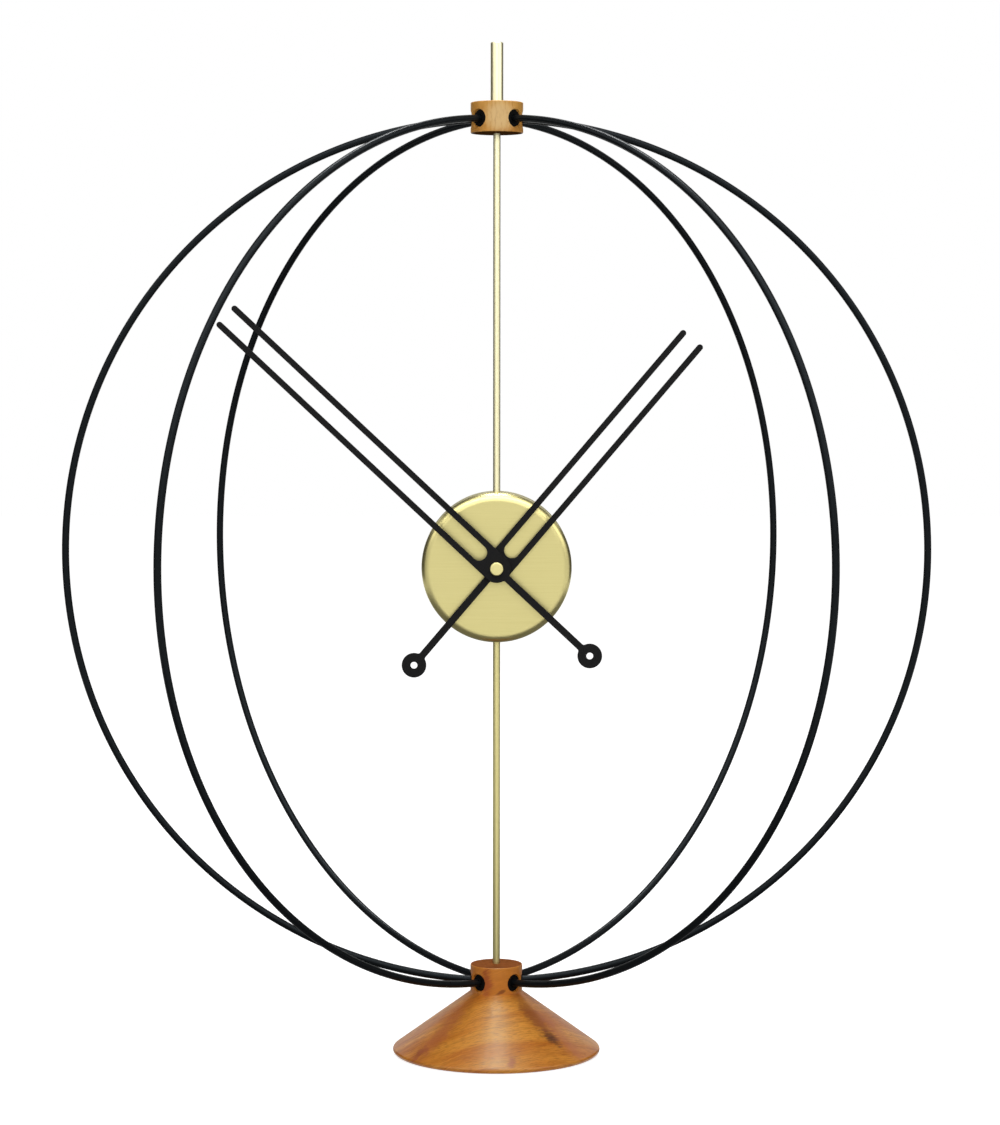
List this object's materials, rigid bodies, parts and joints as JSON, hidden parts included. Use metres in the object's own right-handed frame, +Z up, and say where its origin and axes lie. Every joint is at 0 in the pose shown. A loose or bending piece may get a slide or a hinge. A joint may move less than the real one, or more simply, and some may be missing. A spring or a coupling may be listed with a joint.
{
  "type": "table clock",
  "caption": "Table clock: a round brass case with forked black hands on a thin rod, inside a cage of black wire hoops between a conical wooden foot and a top collar.",
  "frame": {"origin": "centre of the felt underside, on the table", "axes": "+Z up along the rod, -Y towards the viewer who reads the hands, +X to that viewer's right"},
  "size_m": [0.4336, 0.3076, 0.5041],
  "materials": {
    "base_wood": "varnished",
    "collar_wood": "varnished",
    "felt": "felt",
    "steel": "plain",
    "polished_brass": "polished",
    "satin_brass": "brushed",
    "hoop_black": "gloss",
    "bush_black": "matte",
    "hand_black": "matte",
    "movement_brass": "turned",
    "housing_black": "moulded",
    "wheel_white": "moulded",
    "plate_grey": "moulded",
    "magnet_grey": "sintered",
    "copper": "enamelled wire",
    "board_green": "laminate",
    "battery_can": "printed film",
    "contact_metal": "nickel plated"
  },
  "bodies": {
    "stand": {"base_body": "base_wood", "top_collar": "collar_wood", "felt_pad": "felt", "base_washer": "steel", "base_nut": "steel", "rod_nuts": "steel", "stator": "steel", "quartz_crystal": "steel", "lower_rod": "polished_brass", "upper_rod": "polished_brass", "finial": "polished_brass", "case_shell": "satin_brass", "hoop_side_left": "hoop_black", "hoop_side_right": "hoop_black", "hoop_front_left": "hoop_black", "hoop_front_right": "hoop_black", "hoop_back_left": "hoop_black", "hoop_back_right": "hoop_black", "lower_bushes": "bush_black", "upper_bushes": "bush_black", "rubber_washer": "bush_black", "threaded_bush": "movement_brass", "fixing_nut": "movement_brass", "front_housing": "housing_black", "rear_housing": "housing_black", "coil_bobbin": "wheel_white", "middle_plate": "plate_grey", "coil_winding": "copper", "circuit_board": "board_green", "battery": "battery_can", "positive_contact": "contact_metal", "negative_contact": "contact_metal"},
    "minute_hand": {"minute_hand": "hand_black", "hand_cap": "polished_brass", "minute_arbor": "movement_brass"},
    "hour_hand": {"hour_hand": "hand_black", "hour_wheel": "wheel_white"},
    "minute_wheel": {"minute_wheel": "wheel_white"},
    "setting_knob": {"setting_stem": "wheel_white", "setting_knob": "housing_black"},
    "rotor": {"rotor": "magnet_grey"},
    "intermediate_wheel": {"intermediate_wheel": "wheel_white"},
    "second_wheel": {"second_wheel": "wheel_white"},
    "third_wheel": {"third_wheel": "wheel_white"},
    "centre_wheel": {"centre_wheel": "wheel_white"},
    "back_cover": {"back_cover": "satin_brass"}
  },
  "joints": [
    {"name": "minute_hand_turn", "type": "hinge", "parent": "stand", "child": "minute_hand", "pos_m": [0, -0.012, 0.245], "axis": [0, 1, 0], "continuous": true},
    {"name": "hour_hand_turn", "type": "hinge", "parent": "stand", "child": "hour_hand", "pos_m": [0, -0.012, 0.245], "axis": [0, 1, 0], "continuous": true},
    {"name": "minute_wheel_turn", "type": "hinge", "parent": "stand", "child": "minute_wheel", "pos_m": [0.00679, -0.008, 0.25179], "axis": [0, 1, 0], "continuous": true},
    {"name": "setting_knob_turn", "type": "hinge", "parent": "stand", "child": "setting_knob", "pos_m": [0.0156, 0, 0.24798], "axis": [0, 1, 0], "continuous": true},
    {"name": "rotor_turn", "type": "hinge", "parent": "stand", "child": "rotor", "pos_m": [-0.0029, 0, 0.23262], "axis": [0, 1, 0], "continuous": true},
    {"name": "intermediate_wheel_turn", "type": "hinge", "parent": "stand", "child": "intermediate_wheel", "pos_m": [0.0027, 0, 0.23262], "axis": [0, 1, 0], "continuous": true},
    {"name": "second_wheel_turn", "type": "hinge", "parent": "stand", "child": "second_wheel", "pos_m": [0.00861, 0, 0.23366], "axis": [0, 1, 0], "continuous": true},
    {"name": "third_wheel_turn", "type": "hinge", "parent": "stand", "child": "third_wheel", "pos_m": [0.00736, 0, 0.24075], "axis": [0, 1, 0], "continuous": true},
    {"name": "centre_wheel_turn", "type": "hinge", "parent": "stand", "child": "centre_wheel", "pos_m": [0, -0.005, 0.245], "axis": [0, 1, 0], "continuous": true},
    {"name": "back_cover_pull", "type": "slide", "parent": "stand", "child": "back_cover", "axis": [0, 1, 0], "range_m": [0, 0.03]}
  ],
  "couplings": [
    {"joint": "hour_hand_turn", "follows": "minute_hand_turn", "ratio": 0.083333},
    {"joint": "minute_wheel_turn", "follows": "minute_hand_turn", "ratio": -0.33333},
    {"joint": "setting_knob_turn", "follows": "minute_hand_turn", "ratio": 1},
    {"joint": "intermediate_wheel_turn", "follows": "rotor_turn", "ratio": -0.16667},
    {"joint": "second_wheel_turn", "follows": "rotor_turn", "ratio": 0.033333},
    {"joint": "third_wheel_turn", "follows": "rotor_turn", "ratio": -0.0041667},
    {"joint": "centre_wheel_turn", "follows": "rotor_turn", "ratio": 0.00055556}
  ]
}
